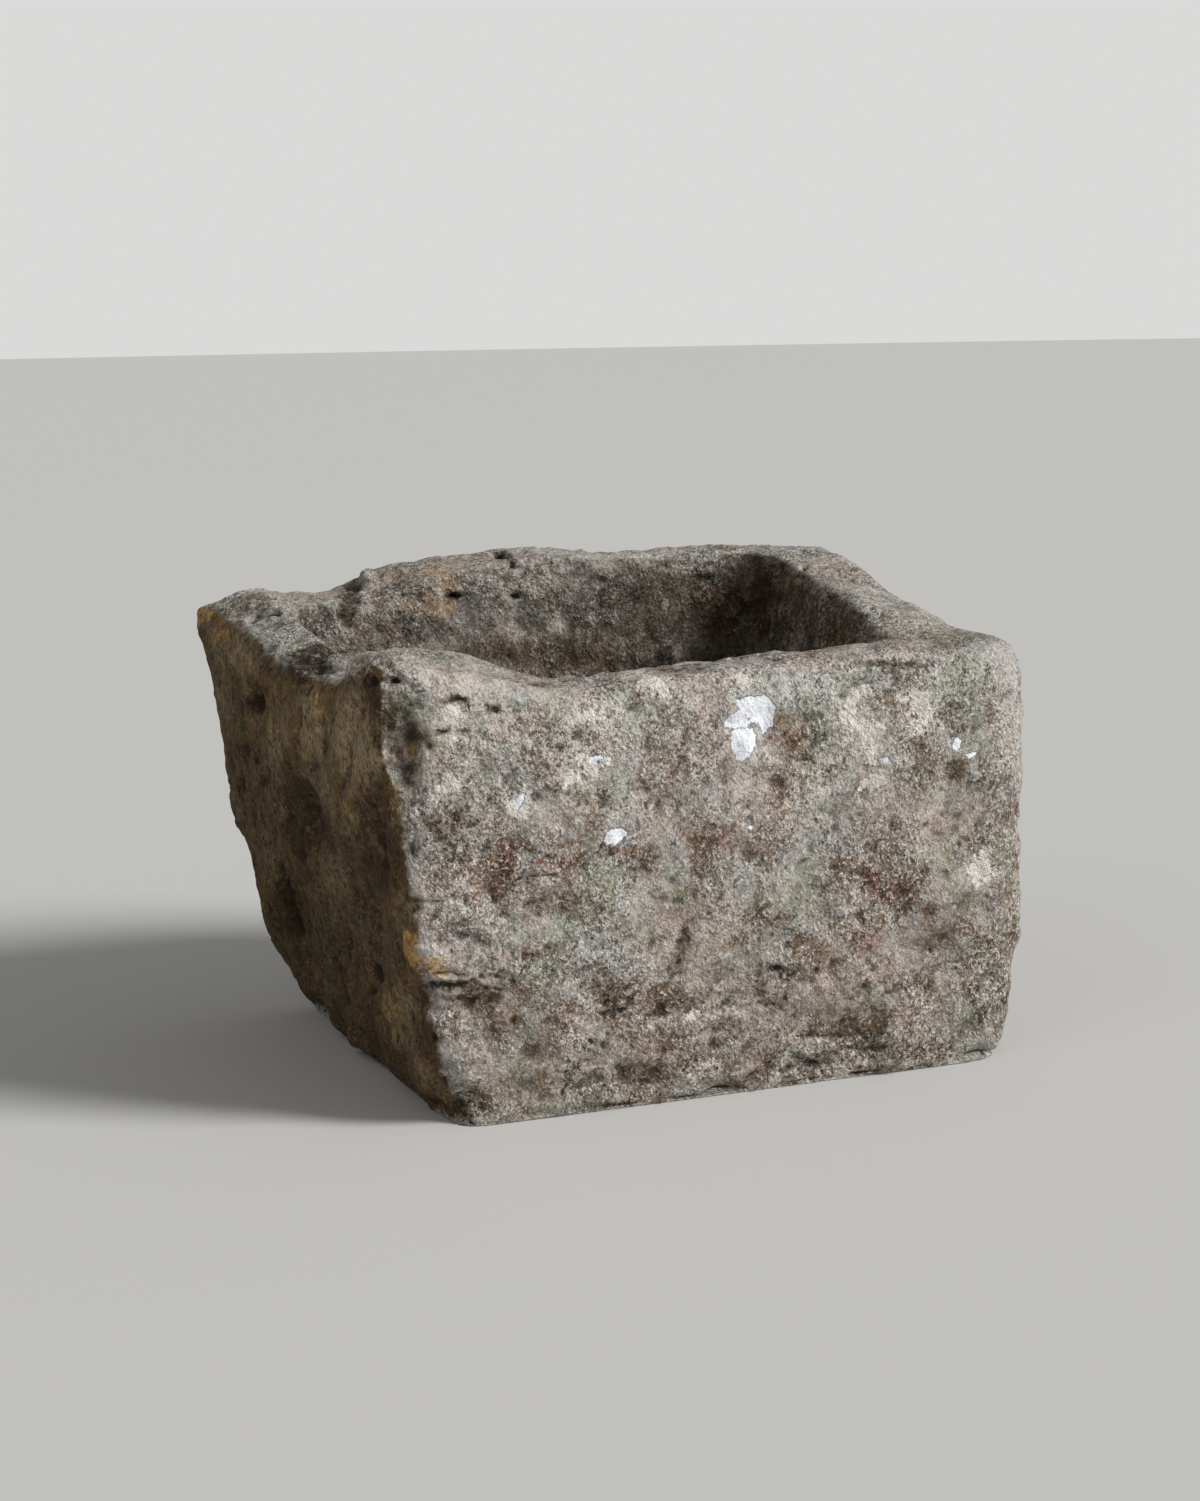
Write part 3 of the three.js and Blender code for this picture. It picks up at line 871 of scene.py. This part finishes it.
# One value in a shader, with the arithmetic that expressions need
class Wire:
    def __init__(self, tree, socket=None):
        self.tree = tree
        self.socket = socket

    def node(self, kind, settings=None, inputs=None, output=0):
        made = self.tree.nodes.new("ShaderNode" + kind)
        for name, value in (settings or {}).items():
            setattr(made, name, value)
        for name, value in (inputs or {}).items():
            if isinstance(value, Wire):
                self.tree.links.new(value.socket, made.inputs[name])
            else:
                made.inputs[name].default_value = value
        return Wire(self.tree, made.outputs[output])

    def into(self, socket):
        self.tree.links.new(self.socket, socket)

    def math(self, operation, first, second=0.5):
        return self.node("Math", {"operation": operation}, {0: first, 1: second})

    def __add__(self, other):
        return self.math("ADD", self, other)

    def __radd__(self, other):
        return self.math("ADD", other, self)

    def __sub__(self, other):
        return self.math("SUBTRACT", self, other)

    def __rsub__(self, other):
        return self.math("SUBTRACT", other, self)

    def __mul__(self, other):
        return self.math("MULTIPLY", self, other)

    def __rmul__(self, other):
        return self.math("MULTIPLY", other, self)

    # The noises lie round a half; a swing is how strongly one moves what it is added to
    def swing(self, strength):
        return (self - 0.5) * strength

    def range(self, low, high):
        ends = {"From Min": low, "From Max": high}
        return self.node("MapRange", {"interpolation_type": "SMOOTHSTEP"}, {"Value": self, **ends})

    # Lays one colour over another; either is a wire or a name among the stone's colours
    def mix(self, under, over):
        under, over = [stoneColours.get(colour, colour) for colour in (under, over)]
        return self.node("Mix", {"data_type": "RGBA"}, {0: self, 6: under, 7: over}, 2)

    def vector(self, operation, other):
        return self.node("VectorMath", {"operation": operation}, {0: self, 1: other})

    # A colour made lighter or darker: the wire's own, or a named one
    def scaled(self, amount, name=None):
        colour = stoneColours[name][:3] if name else self
        return self.node("VectorMath", {"operation": "SCALE"}, {0: colour, "Scale": amount})

    # Multiplies each channel of a colour by its level and a share of one value
    def tinted(self, value, levels, shares):
        channels = {channel: levels[channel] + value * shares[channel] for channel in range(3)}
        return self.vector("MULTIPLY", self.node("CombineXYZ", None, channels))

    def turned(self, angles):
        settings = {"rotation_type": "EULER_XYZ"}
        return self.node("VectorRotate", settings, {"Vector": self, "Rotation": angles})

    def cells(self, size):
        colour = self.node("TexVoronoi", None, {"Vector": self, "Scale": 1 / size}, "Color")
        return colour.node("SeparateXYZ", None, {0: colour})

    def noise(self, size, detail, roughness, shift=None):
        place = self.vector("ADD", shift) if shift else self
        inputs = {"Vector": place, "Scale": 1 / size, "Detail": detail, "Roughness": roughness}
        return self.node("TexNoise", None, inputs)


# A colour as it looks on a screen, written from 0 to 255, for a shader socket
def screen(red, green, blue):
    def linear(value):
        share = value / 255
        return share / 12.92 if share <= 0.04045 else ((share + 0.055) / 1.055) ** 2.4

    return linear(red), linear(green), linear(blue), 1


def newMaterial(name, roughness, specular):
    material = bpy.data.materials.new(name)
    material.use_nodes = True
    surface = material.node_tree.nodes["Principled BSDF"]
    surface.inputs["Roughness"].default_value = roughness
    surface.inputs["Specular IOR Level"].default_value = specular
    return material, surface, Wire(material.node_tree)


stoneColours = {
    "grey": screen(150, 146, 140),
    "pink": screen(165, 150, 141),
    "green": screen(135, 139, 116),
    "brown": screen(116, 91, 68),
    "pale": screen(208, 205, 199),
    "pit": screen(56, 43, 32),
    "blue": screen(146, 151, 150),
    "rust": screen(126, 80, 60),
    "darkRust": screen(80, 52, 38),
    "ochreAndLight": screen(186, 148, 92),
    "tawny": screen(142, 112, 80),
    # Dark brown of the holes and recesses, partly painted shade
    "umberAndShade": screen(68, 52, 36),
    "lime": screen(232, 235, 240),
    "warmLime": screen(219, 212, 203),
    # The left face's browns: its brown stone, darkened as painted shade as well
    "left": screen(105, 80, 42),
    "leftDeep": screen(77, 56, 27),
    "leftGreen": screen(87, 75, 45),
    "leftGrey": screen(108, 94, 70),
    # Paler stone of the left face, also its painted light
    "leftPaleAndLit": screen(150, 132, 100),
    "basin": screen(126, 116, 104),
    "basinDeep": screen(52, 43, 36),
    "earth": screen(82, 60, 36),
    # Dark brown of dirt, and of painted shade in the hollows
    "dirtAndShade": screen(40, 32, 25),
}

# The stone's noises: size of the largest marks in metres, how many finer ones follow, how
# strong those are, and a shift that makes each pattern its own
stoneNoises = {
    "broad": (0.085, 3, 0.55),
    "patch": (0.028, 6, 0.66),
    "mottle": (0.0085, 4, 0.7),
    "speck": (0.0023, 2, 0.65),
    "fleck": (0.003, 2, 0.75, (4, 4, 4)),
    "rosy": (0.05, 6, 0.68, (3, 1, 2)),
    "mossy": (0.042, 6, 0.7, (7, 5, 1)),
    "earthy": (0.03, 6, 0.72, (1, 8, 4)),
    "dots": (0.0048, 3, 0.7, (2, 2, 9)),
    "crust": (0.016, 6, 0.72, (6, 3, 3)),
    "skinNoise": (0.05, 5, 0.62, (9, 3, 5)),
    "creaseNoise": (0.011, 5, 0.66, (5, 9, 2)),
}
leftNoises = {  # drawn out down the wall
    "leftPatch": (0.03, 6, 0.6),
    "leftMottle": (0.0075, 4, 0.66),
    "leftSpeck": (0.0022, 2, 0.7),
}
gritSize = 0.0015
streaks = {"stretch": (1, 1, 0.3), "noise": (0.008, 5, 0.65)}  # down the basin's walls

# Coats laid over the stone: colour, the value where each starts, the value where it is
# whole, and how much of what lies under it it then covers. A coat without a colour is given
# one by the code.
coats = {
    "pink": ("pink", 0.42, 0.6, 0.8),
    "green": ("green", 0.52, 0.68, 0.7),
    "brown": ("brown", 0.48, 0.6, 1),
    "left": ("left", 0.4, 0.62, 1),
    "leftGreen": ("leftGreen", 0.46, 0.58, 0.7),
    "leftGrey": ("leftGrey", 0.5, 0.6, 0.4),
    "leftPaleAndLit": ("leftPaleAndLit", 0, 1.2, 0.8),
    "leftDots": ("dirtAndShade", 0.56, 0.64, 0.6),
    "blueLichen": ("blue", 0.46, 0.54, 1),
    "lichen": (None, 0.25, 1, 0.55),
    "rustGrain": ("rust", 0.42, 0.58, 1),
    "rust": (None, 0.12, 0.7, 1),
    "ochreGrain": ("ochreAndLight", 0.4, 0.58, 1),
    "ochreAndLight": (None, 0.15, 0.75, 0.85),
    "basinGrain": ("basin", 0.45, 0.58, 1),
    "tawny": ("tawny", 0.1, 0.9, 0.6),
    "earth": ("earth", 0.1, 0.45, 0.9),
    "scab": ("pale", 0.55, 0.62, 0.55),
    "flecks": ("pale", 0.57, 0.62, 0.5),
    "grains": ("pale", 0.84, 0.92, 0.4),
    "dust": ("pit", 0.86, 0.96, 0.4),
    "umberAndShadeGrain": ("umberAndShade", 0.25, 0.65, 1),
    # Hollows darkened by dirt and painted shade; ridges made pale by wear and a painted highlight
    "dirtAndShade": ("dirtAndShade", 0.12, 0.9, 0.75),
    "wearAndHighlight": ("pale", 0.15, 0.9, 0.35),
    "cream": (None, 0.32, 0.56, 0.9),
}

# Where the other marks start and where they are whole
edges = {
    "rise": (0.01, 0.26),  # heights in metres
    "skin": (0.44, 0.57),
    "stain": (0.05, 0.9),
    "crust": (0.15, 0.8),
    "bare": (0.1, 1.1),
    "smear": (0.1, 0.9),
    "shade": (0, 0.7),
    "creases": (0.005, 0.022),
    "creasePatches": (0.48, 0.58),
    "pitted": (0, 0.8),
    "pits": (0.58, 0.61),
    "umberAndShade": (0.12, 0.6),
    "lime": (0.22, 0.36),
    "limeKept": (0.01, 0.1),
}
covers = {"bare": 0.97, "basin": 0.75, "creases": 0.7, "lime": 0.93}
brightness = {"levels": (1.05, 1.04, 1.02), "shares": (0.92, 1, 1.1)}
basinShade = {"levels": (1, 1, 1), "shares": (-0.56, -0.6, -0.65)}
stoneFinish = {"roughness": 0.94, "specular": 0.25}
stoneBump = {"Strength": 1, "Distance": 0.0032}


# Lays a coat over a colour where a value is high enough, or only a share of the coat
def coated(under, value, name, over=None, share=None):
    tone, start, whole, cover = coats[name]
    amount = value.range(start, whole)
    if share is not None:
        amount = amount * share
    return (amount * cover).mix(under, over or tone)


# Every noise and mask that the stone's colours are mixed from
def stoneGrain(start):
    def mask(name):
        return start.node("Attribute", {"attribute_name": name}, output="Fac")

    straight = start.node("TexCoord", output="Object")
    place = straight.turned(patternTurn)
    drawnOut = straight.vector("MULTIPLY", (1, 1, leftStretch)).turned(patternTurn)
    g = SimpleNamespace(start=start, mask=mask)
    for name, values in stoneNoises.items():
        setattr(g, name, place.noise(*values))
    for name, values in leftNoises.items():
        setattr(g, name, drawnOut.noise(*values))
    g.grit = place.cells(gritSize)
    g.streaks = straight.vector("MULTIPLY", streaks["stretch"]).noise(*streaks["noise"])
    g.rise = start.node("SeparateXYZ", None, {0: straight}, 2).range(*edges["rise"])
    g.skin = g.skinNoise.range(*edges["skin"])
    g.ragged = 1 + g.patch.swing(3) + g.mottle.swing(4) + g.speck.swing(2)
    g.hollow, g.left, g.top, g.basin = [mask(name) for name in ("hollow", "leftFace", "topFace", "basinFace")]
    g.stain, g.smear, g.pitted = [
        (mask(name) * g.ragged).range(*edges[name]) for name in ("stain", "smear", "pitted")
    ]
    return g


# Where the left face's brown stone shows, made darker as painted shade too, ragged at its edge
def bareStone(g):
    covered = (g.mask("crust") * g.ragged).range(*edges["crust"])
    bare = g.left * 1.3 + g.mask("brownAndShadedCorner") + g.patch.swing(2.4) + g.mottle.swing(2.2) + g.crust.swing(1.5)
    return bare.range(*edges["bare"]) * (1 - covered)


# How much of each kind of speckle a place takes, and the marks that colour and bump share
def addMarks(g):
    g.bare = bareStone(g)
    g.plain = 1 - g.bare * 0.9
    g.calm = 1 - g.bare * 0.75
    g.rough = (1.3 - g.skin * 0.75 + g.basin * 0.2) * g.plain
    shade = g.mask("shade") * g.basin * (0.75 + g.patch.swing(2) + g.mottle.swing(2))
    g.shade = shade.range(*edges["shade"])
    g.clean = g.rough * (1 - g.basin * 0.5) * (1 - g.shade * 0.7)
    crease = 1 - g.start.math("ABSOLUTE", g.creaseNoise - 0.5).range(*edges["creases"])
    patches = (g.patch * 0.5 + g.earthy * 0.5).range(*edges["creasePatches"])
    g.crease = crease * patches * (g.plain + g.left * 0.5)
    pits = 1 - g.dots - g.speck.swing(0.3) - g.patch.swing(0.5) + g.pitted * 0.05
    g.pits = pits.range(*edges["pits"]) * g.plain
    lime = g.mask("lime") + g.mottle.swing(0.8) + g.speck.swing(0.5)
    g.lime = lime.range(*edges["lime"]) * g.mask("lime").range(*edges["limeKept"])


def greyStone(g):
    colour = coated("grey", g.rosy, "pink")
    colour = coated(colour, g.mossy + g.rise * 0.04 - g.top * 0.03, "green")
    brown = g.earthy - g.rise * 0.04 - g.skin * 0.05 + g.stain * 0.07
    return coated(colour, brown, "brown", share=0.6 + g.stain * 0.25)


# The left face's brown stone, its colours darkened as painted shade
def brownAndShadedStone(g):
    colour = coated("leftDeep", g.leftPatch * 0.6 + g.leftMottle * 0.4, "left")
    colour = coated(colour, g.mossy, "leftGreen")
    colour = coated(colour, g.rosy, "leftGrey")
    # Paler patches, partly painted light on the shaded face
    colour = coated(colour, g.mask("leftPaleAndLit") * (0.4 + g.ragged * 0.6), "leftPaleAndLit")
    change = g.leftMottle.swing(1.1) + g.leftSpeck.swing(1.8)
    colour = colour.scaled(0.82 + change + g.grit.swing(0.3))
    return coated(colour, 1 - g.leftSpeck - g.leftMottle.swing(0.5), "leftDots")


def stained(g, colour):
    lichen = coated("green", g.rosy, "blueLichen")
    colour = coated(colour, g.mask("lichen") * g.ragged, "lichen", lichen)
    rust = coated("darkRust", g.dots * 0.6 + g.speck * 0.4, "rustGrain")
    share = 0.5 + g.fleck.range(0.4, 0.56) * 0.4
    colour = coated(colour, g.mask("rust") * g.ragged, "rust", rust, share)
    ochreAndLight = coated("tawny", g.dots * 0.5 + g.mottle * 0.5, "ochreGrain")
    # Ochre patches stronger than one, on the ledge, are made brighter as painted light
    ochreAndLight = ochreAndLight.scaled(0.5 + g.speck + g.mask("ochreAndLight").range(1, 1.4) * 0.2)
    return coated(colour, g.mask("ochreAndLight") * (0.3 + g.ragged * 0.7), "ochreAndLight", ochreAndLight)


def basinStained(g, colour):
    wall = coated("basinDeep", g.patch * 0.6 + g.crust * 0.4, "basinGrain")
    colour = (g.basin * covers["basin"]).mix(colour, wall)
    colour = coated(colour, g.mask("tawny") * g.ragged, "tawny")
    share = g.basin * (0.6 + g.streaks.range(0.42, 0.56) * 0.4)
    return coated(colour, g.mask("earth") * (0.6 + g.ragged * 0.4), "earth", share=share)


# Light and dark, from large patches down to single grains: lighter towards the top of the walls, with painted
# shade on the rim tops and on the basin's walls
def shaded(g, colour):
    # The rim tops are darkened here as painted shade
    change = g.rise.swing(0.38) - g.top * 0.15 + (g.broad.swing(1.3) + g.patch.swing(1.6)) * g.calm
    change = change + (g.mottle.swing(1.2) + g.speck.swing(1.3) + g.grit.swing(0.4)) * g.rough
    change = change + g.skin.swing(0.07) * g.calm - g.stain * 0.06 + g.smear * 0.16
    return colour.tinted(change, **brightness).tinted(g.shade, **basinShade)


def flecked(g, colour):
    smear = g.smear * (0.3 + g.fleck.range(0.4, 0.6) * 0.4)
    colour = smear.mix(colour, "warmLime")
    colour = coated(colour, g.crust * 0.6 + g.fleck * 0.4, "scab", share=g.clean)
    colour = coated(colour, g.fleck + g.patch.swing(0.3), "flecks", share=g.clean)
    colour = coated(colour, g.grit + g.mottle.swing(0.8), "grains", share=g.clean)
    colour = coated(colour, 1 - g.grit - g.mottle.swing(0.8), "dust", share=g.rough)
    colour = (g.crease * covers["creases"]).mix(colour, "pit")
    pitDepth = 0.2 + (1 - g.skin) * 0.28 + g.pitted * 0.4
    return (g.pits * pitDepth).mix(colour, "pit")


# Dirt and painted shade lie in the hollows, and what stands out is worn pale with a painted highlight
def dirtiedAndShaded(g, colour):
    # Holes and recesses are darkened, partly as painted shade, darkest where the patches are strongest
    umberAndShade = 0.5 + (1 - g.dots).range(0.4, 0.56) * 0.45 + g.mask("umberAndShade").range(0.9, 1.6) * 0.3
    umberAndShade = umberAndShade * (g.mask("umberAndShade") * g.ragged).range(*edges["umberAndShade"])
    umberAndShadeColour = coated("dirtAndShade", g.speck, "umberAndShadeGrain")
    colour = umberAndShade.mix(colour, umberAndShadeColour.scaled(1 - g.mask("umberAndShade").range(1, 2) * 0.4))
    colour = coated(colour, g.hollow * 0.5 + g.mottle.swing(0.9), "dirtAndShade")
    wearAndHighlight = g.hollow * -0.35 + g.mottle.swing(1.4) + g.speck.swing(1.4) - g.bare * 0.7
    return coated(colour, wearAndHighlight, "wearAndHighlight")


def limed(g, colour):
    cream = g.start.scaled(0.72 + g.speck * 0.5, "warmLime")
    colour = coated(colour, g.mask("cream") * (0.3 + g.ragged * 0.7), "cream", cream)
    white = g.start.scaled(0.84 + g.speck * 0.32, "lime")
    return (g.lime * covers["lime"]).mix(colour, white)


def stoneHeight(g):
    height = (g.mottle * 1.25 + g.speck * 0.6 + g.fleck * 0.5 + g.grit * 0.09) * (1.1 - g.skin * 0.4)
    leftHeight = g.leftMottle * 0.7 + g.leftSpeck * 0.3 + g.leftPatch * 1.5
    height = height * (1 - g.left) + leftHeight * g.left
    height = height + g.crust * 0.8 * (1 - g.left) - g.pits * 0.2 - g.crease * 0.12
    return height * (1 - g.lime * 0.5)


def stoneMaterial():
    material, surface, start = newMaterial("weathered_stone", **stoneFinish)
    g = stoneGrain(start)
    addMarks(g)
    # The left face takes its brown stone, darkened as painted shade
    colour = (g.bare * covers["bare"]).mix(greyStone(g), brownAndShadedStone(g))
    for laidOn in (stained, basinStained, shaded, flecked, dirtiedAndShaded, limed):
        colour = laidOn(g, colour)
    bump = start.node("Bump", None, {**stoneBump, "Height": stoneHeight(g)})
    colour.into(surface.inputs["Base Color"])
    bump.into(surface.inputs["Normal"])
    return material


stone.data.materials.clear()
stone.data.materials.append(stoneMaterial())
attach(stone, "root")
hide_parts("stone_trough")
print("stone finished")


# Dry rootlets: x, distance out from the stone and height of the points that each passes,
# in metres, as in the CAD model
rootlets = {
    "thickness": 0.0007,
    "taper": 0.55,  # share of the thickness that is lost towards the ends
    "clearance": 0.0012,
    "lowest": 0.0004,
    "seed": 7,
    "hairs": 9,
    "hairThickness": 0.00022,
    "hairLength": 0.009,
    "hairShares": (0.4, 1),  # the shortest and the longest, of that length
    "hairBendOut": (-0.0012, 0.0002),
    "hairBendUp": (-0.001, 0.001),
    "dark": screen(74, 57, 42),
    "light": screen(138, 114, 88),
    "grain": (0.004, 3, 0.6),
    "grainEdges": (0.35, 0.65),
    "finish": {"roughness": 0.85, "specular": 0.3},
    "routes": {
        "rootlet_left": (
            (-0.059, 0, 0.0017), (-0.0533, 0.0009, 0.0041), (-0.0491, 0.0017, 0.0023),
            (-0.0444, 0.0006, 0.0064),
        ),
        "rootlet_curled": (
            (0.0019, 0, 0.0017), (0.0085, 0.0015, 0.0087), (0.016, 0.0012, 0.018),
            (0.0236, 0.0017, 0.0116), (0.0198, 0.0026, 0.0046), (0.0123, 0.0035, 0.0029),
        ),
        "rootlet_long": (
            (0.0293, 0, 0.0017), (0.0368, 0.0009, 0.0052), (0.0453, 0.0017, 0.0026),
            (0.0557, 0.0009, 0.0058), (0.0632, 0.0006, 0.0122),
        ),
        "rootlet_right": (
            (0.1001, 0, 0.0017), (0.1057, 0.0012, 0.0058), (0.1133, 0.0015, 0.0035),
            (0.1189, 0.0003, 0.0081),
        ),
    },
}


def strand(curve, points, thickness):
    spline = curve.splines.new("NURBS")
    spline.points.add(len(points) - 1)
    spline.use_endpoint_u = True
    spline.order_u = 3
    for index, (slot, point) in enumerate(zip(spline.points, points)):
        slot.co = (*point, 1)
        slot.radius = thickness * (1 - rootlets["taper"] * abs(2 * index / (len(points) - 1) - 1))


def rootletPiece(name, route, surface, chance):
    curve = bpy.data.curves.new(name, "CURVE")
    curve.dimensions = "3D"
    curve.bevel_depth = 1
    curve.bevel_resolution = 1
    curve.resolution_u = 8
    curve.use_fill_caps = True
    places = []
    for x, out, z in route:
        inFront = Vector((x, -1, z))  # well clear of the stone
        wall = surface.ray_cast(inFront, Vector((0, 1, 0)))[0]
        places.append(Vector((x, wall.y - out - rootlets["clearance"], z)))
    strand(curve, places, rootlets["thickness"])
    for _ in range(rootlets["hairs"]):
        step = chance.randrange(len(places) - 1)
        root = places[step].lerp(places[step + 1], chance.random())
        turn = chance.uniform(0, 2 * math.pi)
        reach = rootlets["hairLength"] * chance.uniform(*rootlets["hairShares"])
        tip = root + Vector((math.cos(turn), 0, math.sin(turn))) * reach
        sag = Vector((0, chance.uniform(*rootlets["hairBendOut"]), chance.uniform(*rootlets["hairBendUp"])))
        bend = (root + tip) / 2 + sag
        for end in (bend, tip):
            end.z = max(end.z, rootlets["lowest"])
        strand(curve, (root, bend, tip), rootlets["hairThickness"])
    holder = addObject(name + "_curve", curve)
    shown = holder.evaluated_get(bpy.context.evaluated_depsgraph_get())
    piece = addObject(name.replace("rootlet", "dry_rootlet"), bpy.data.meshes.new_from_object(shown))
    bpy.data.objects.remove(holder)
    piece.data.shade_smooth()
    return piece


def rootMaterial():
    material, surface, start = newMaterial("dry_root", **rootlets["finish"])
    place = start.node("TexCoord", output="Object")
    shade = place.noise(*rootlets["grain"]).range(*rootlets["grainEdges"])
    shade.mix(rootlets["dark"], rootlets["light"]).into(surface.inputs["Base Color"])
    return material


def addRootlets():
    surface = BVHTree.FromPolygons(
        [point.co for point in stone.data.vertices], [face.vertices for face in stone.data.polygons]
    )
    material = rootMaterial()
    chance = random.Random(rootlets["seed"])
    for name, route in rootlets["routes"].items():
        piece = rootletPiece(name, route, surface, chance)
        piece.data.materials.clear()
        piece.data.materials.append(material)
        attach(piece, "root")
        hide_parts(name)


addRootlets()
print("rootlets laid")


# A pale floor under soft daylight from the right
studio = {
    "floorRadius": 30,
    "floorSides": 96,
    "floorColour": screen(198, 197, 194),
    "floorFinish": {"roughness": 0.9, "specular": 0.5},
    "skyColour": screen(218, 218, 217),
    "skyLight": 0.4,
    "lamps": {
        "window": {"from": Vector((0.9, -0.8, 0.74)), "softness": 20, "strength": 3.7},
        "fill": {"from": Vector((-1, -0.5, 0.9)), "softness": 35, "strength": 0.22},
    },
}


def addFloor():
    disc = bmesh.new()
    bmesh.ops.create_circle(
        disc, cap_ends=True, segments=studio["floorSides"], radius=studio["floorRadius"]
    )
    mesh = bpy.data.meshes.new("floor")
    disc.to_mesh(mesh)
    disc.free()
    floor = addObject("floor", mesh)
    material, surface, _ = newMaterial("pale_floor", **studio["floorFinish"])
    surface.inputs["Base Color"].default_value = studio["floorColour"]
    mesh.materials.append(material)


# The camera sees the sky at full strength, and the stone is lit by a share of it
def addSky():
    world = bpy.data.worlds.new("sky")
    world.use_nodes = True
    bpy.context.scene.world = world
    back = world.node_tree.nodes["Background"]
    seen = Wire(world.node_tree).node("LightPath", output="Is Camera Ray")
    strength = studio["skyLight"] + seen * (1 - studio["skyLight"])
    back.inputs["Color"].default_value = studio["skyColour"]
    strength.into(back.inputs["Strength"])


def addLamps():
    for name, values in studio["lamps"].items():
        lamp = bpy.data.lights.new(name, "SUN")
        lamp.energy = values["strength"]
        lamp.angle = math.radians(values["softness"])
        holder = addObject(name, lamp)
        holder.rotation_euler = values["from"].to_track_quat("Z", "Y").to_euler()


addFloor()
addSky()
addLamps()
bpy.context.scene.view_settings.view_transform = "Standard"
print("studio set")
